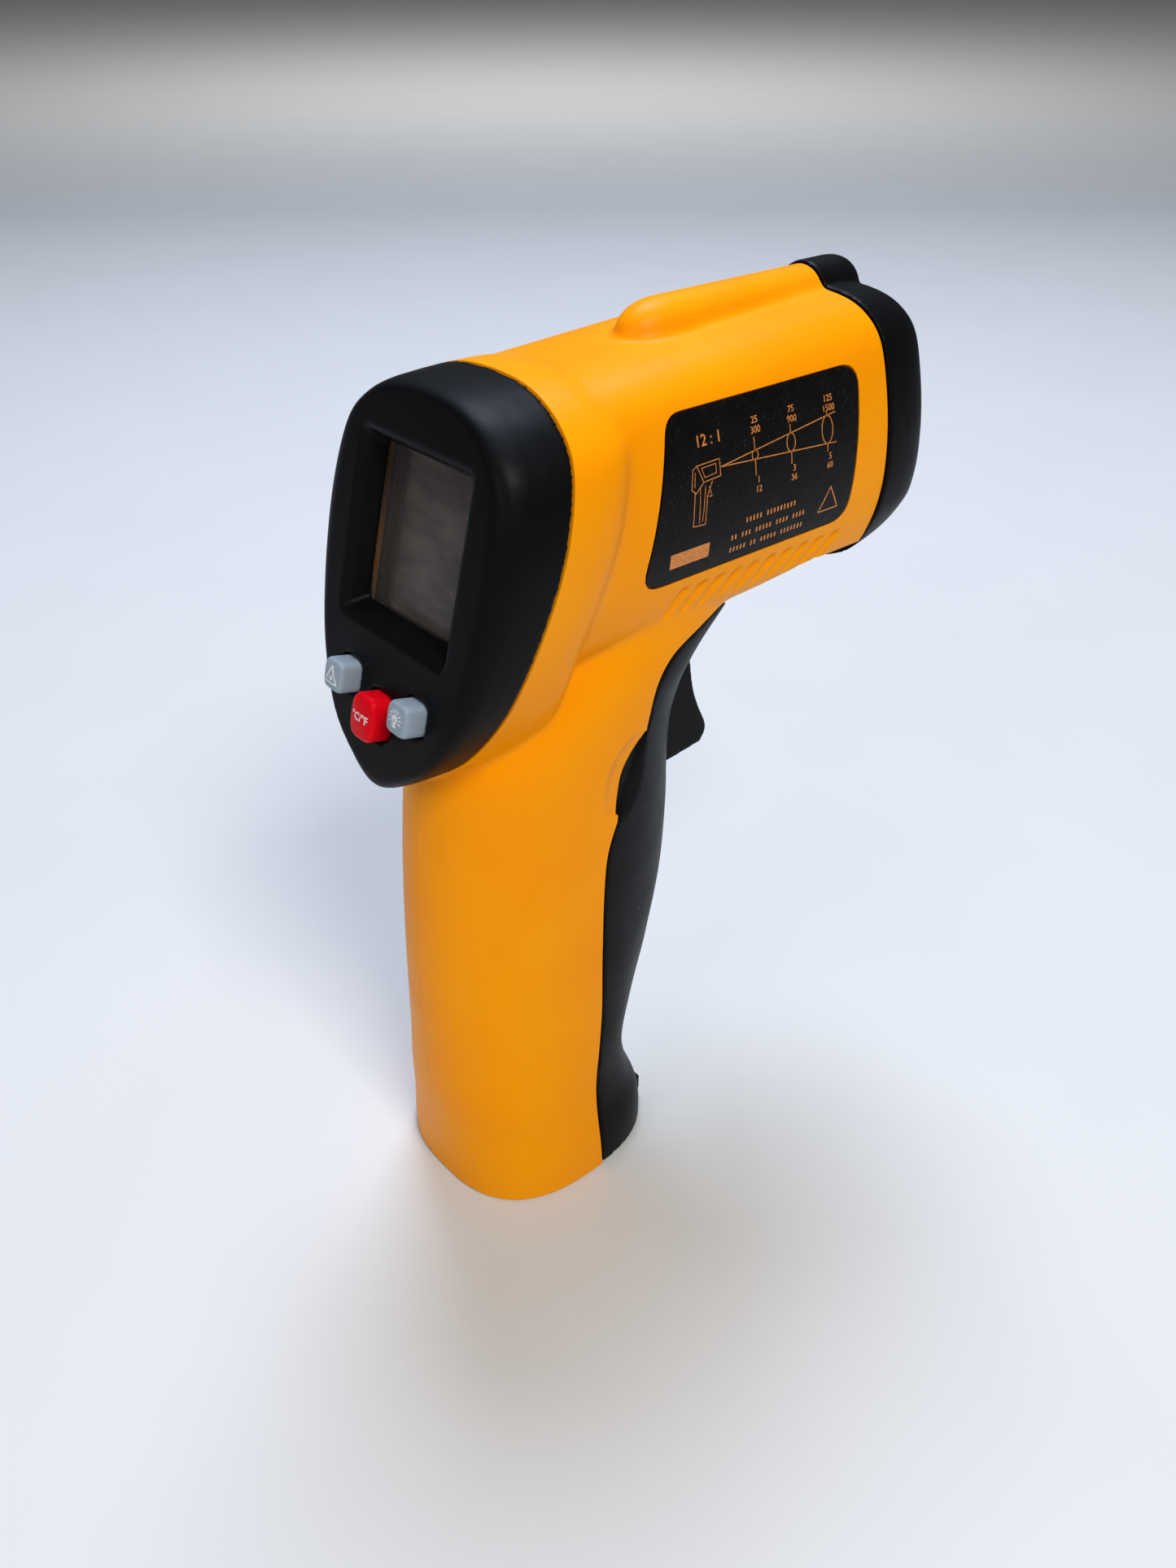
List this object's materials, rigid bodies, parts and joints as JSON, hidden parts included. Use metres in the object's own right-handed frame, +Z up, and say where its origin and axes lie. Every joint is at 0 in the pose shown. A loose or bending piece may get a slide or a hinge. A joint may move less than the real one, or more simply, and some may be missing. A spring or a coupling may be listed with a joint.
{
  "type": "infrared thermometer",
  "caption": "Hand-held pistol-shaped infrared thermometer with rear display and keys, sprung trigger, and a hinged battery door in the front of the grip.",
  "frame": {"origin": "on the surface that the handle stands on, below the middle of the overall length and width", "axes": "+X is the measuring direction, +Y the user's left, +Z up"},
  "size_m": [0.1014, 0.0452, 0.1534],
  "materials": {
    "yellow_shell": "moulded ABS, satin",
    "black_shell": "moulded ABS, satin, fine texture",
    "key_grey": "moulded, printed icon",
    "key_red": "moulded, printed icon",
    "clear_window": "polished acrylic window",
    "lcd": "liquid crystal cell",
    "diffuser": "white light guide",
    "label": "printed polyester film",
    "board": "glass fibre laminate with solder mask",
    "switch": "moulded switch body",
    "steel": "zinc plated",
    "brass_can": "turned laser housing",
    "ir_window": "dark infrared lens",
    "tinted": "tinted acrylic",
    "battery_jacket": "printed battery jacket",
    "pvc_red": "PVC insulation",
    "pvc_black": "PVC insulation",
    "pvc_grey": "PVC ribbon and sleeve"
  },
  "bodies": {
    "housing": {"housing_left": "yellow_shell", "housing_right": "yellow_shell", "rear_bezel": "black_shell", "nose_ring": "black_shell", "label_left": "label", "label_right": "label", "display_window": "clear_window", "lcd_panel": "lcd", "lcd_backlight": "diffuser", "main_board": "board", "switch_laser": "switch", "switch_backlight": "switch", "switch_unit": "switch", "trigger_switch": "switch", "optics_tube": "black_shell", "ir_lens": "ir_window", "thermopile": "steel", "sensor_board": "board", "sensor_cable": "pvc_grey", "laser_module": "brass_can", "laser_window": "tinted", "laser_lead_red": "pvc_red", "laser_lead_black": "pvc_black", "trigger_pin": "steel", "trigger_spring": "steel", "door_pin": "steel", "battery": "battery_jacket", "battery_snap": "pvc_black", "battery_lead_red": "pvc_red", "battery_lead_black": "pvc_black", "screw_1": "steel", "screw_2": "steel", "screw_3": "steel", "screw_4": "steel"},
    "trigger": {"trigger": "black_shell"},
    "laser_key": {"key_laser": "key_grey"},
    "unit_key": {"key_unit": "key_red"},
    "backlight_key": {"key_backlight": "key_grey"},
    "door": {"battery_door": "black_shell"}
  },
  "joints": [
    {"name": "trigger_pull", "type": "hinge", "parent": "housing", "child": "trigger", "pos_m": [0.00528, 0, 0.1105], "axis": [0, 1, 0], "range_deg": [0, 8], "stiffness_Nm_per_rad": 0.35},
    {"name": "laser_key_press", "type": "slide", "parent": "housing", "child": "laser_key", "axis": [0.9666, 0, -0.2562], "range_m": [0, 0.0008], "stiffness_N_per_m": 900},
    {"name": "unit_key_press", "type": "slide", "parent": "housing", "child": "unit_key", "axis": [0.9666, 0, -0.2562], "range_m": [0, 0.0008], "stiffness_N_per_m": 900},
    {"name": "backlight_key_press", "type": "slide", "parent": "housing", "child": "backlight_key", "axis": [0.9666, 0, -0.2562], "range_m": [0, 0.0008], "stiffness_N_per_m": 900},
    {"name": "door_swing", "type": "hinge", "parent": "housing", "child": "door", "pos_m": [-0.00822, 0, 0.0026], "axis": [0, 1, 0], "range_deg": [0, 65]}
  ]
}
